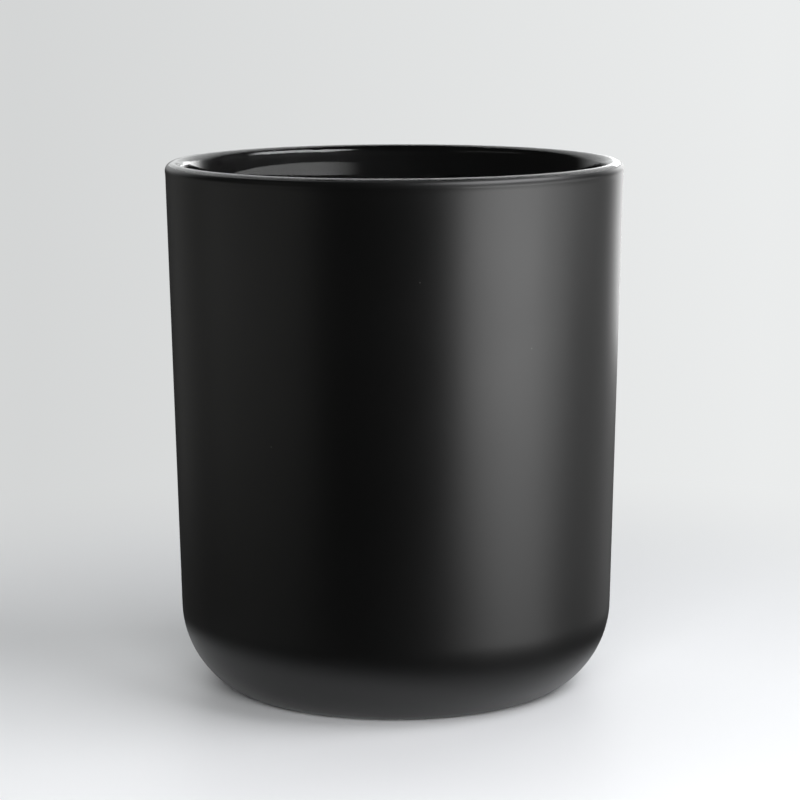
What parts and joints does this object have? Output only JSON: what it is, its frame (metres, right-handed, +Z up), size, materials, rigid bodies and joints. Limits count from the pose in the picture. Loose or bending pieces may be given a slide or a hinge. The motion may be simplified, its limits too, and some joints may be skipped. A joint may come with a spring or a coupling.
{
  "type": "candle jar",
  "caption": "Empty round-heeled candle tumbler: clear glass with a glossy lip and inside, sprayed matt black over the outside down to the ring that it stands on.",
  "frame": {"origin": "on the jar's axis, in the plane of the ring that it stands on", "axes": "+Z up along the jar's axis, out of the mouth; it is a solid of revolution, so X and Y are any two square directions"},
  "size_m": [0.08, 0.08, 0.093],
  "materials": {
    "glass": "clear, fire-polished lip, smooth pressed inside",
    "lacquer": "sprayed matt black lacquer with a fine tooth"
  },
  "bodies": {
    "root": {"glass_jar": "glass", "matt_black_lacquer": "lacquer"}
  },
  "joints": []
}
